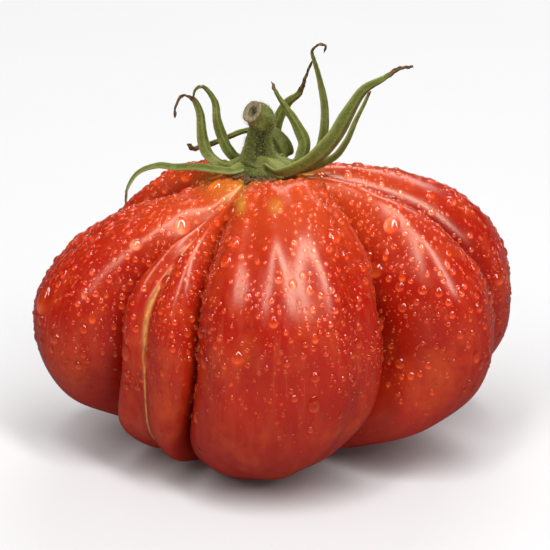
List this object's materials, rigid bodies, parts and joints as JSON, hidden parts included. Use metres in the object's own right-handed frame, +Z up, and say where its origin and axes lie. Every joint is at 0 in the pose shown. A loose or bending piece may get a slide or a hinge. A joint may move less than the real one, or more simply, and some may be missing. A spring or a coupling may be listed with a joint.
{
  "type": "tomato",
  "caption": "Large ribbed beefsteak tomato with deep uneven lobes, long curling green sepals and a short knuckled stalk, standing on the undersides of its lobes.",
  "frame": {"origin": "middle of the whole outline seen from above, at the level the fruit rests on", "axes": "+Z up along the stem, -Y to the front, where the fullest lobe points, +X to the right seen from the front"},
  "size_m": [0.1124, 0.0957, 0.0966],
  "materials": {
    "skin": "smooth waxy skin, wet",
    "calyx": "matt, finely hairy",
    "stalk": "matt, finely hairy",
    "sepal": "matt, finely hairy"
  },
  "bodies": {
    "root": {"fruit": "skin", "calyx_disc": "calyx", "stalk": "stalk", "sepal_left_low": "sepal", "sepal_left_hooked": "sepal", "sepal_left_upright": "sepal", "sepal_crossing": "sepal", "sepal_rear": "sepal", "sepal_leaning": "sepal", "sepal_tall": "sepal", "sepal_right_broad": "sepal", "sepal_right_low": "sepal"}
  },
  "joints": []
}
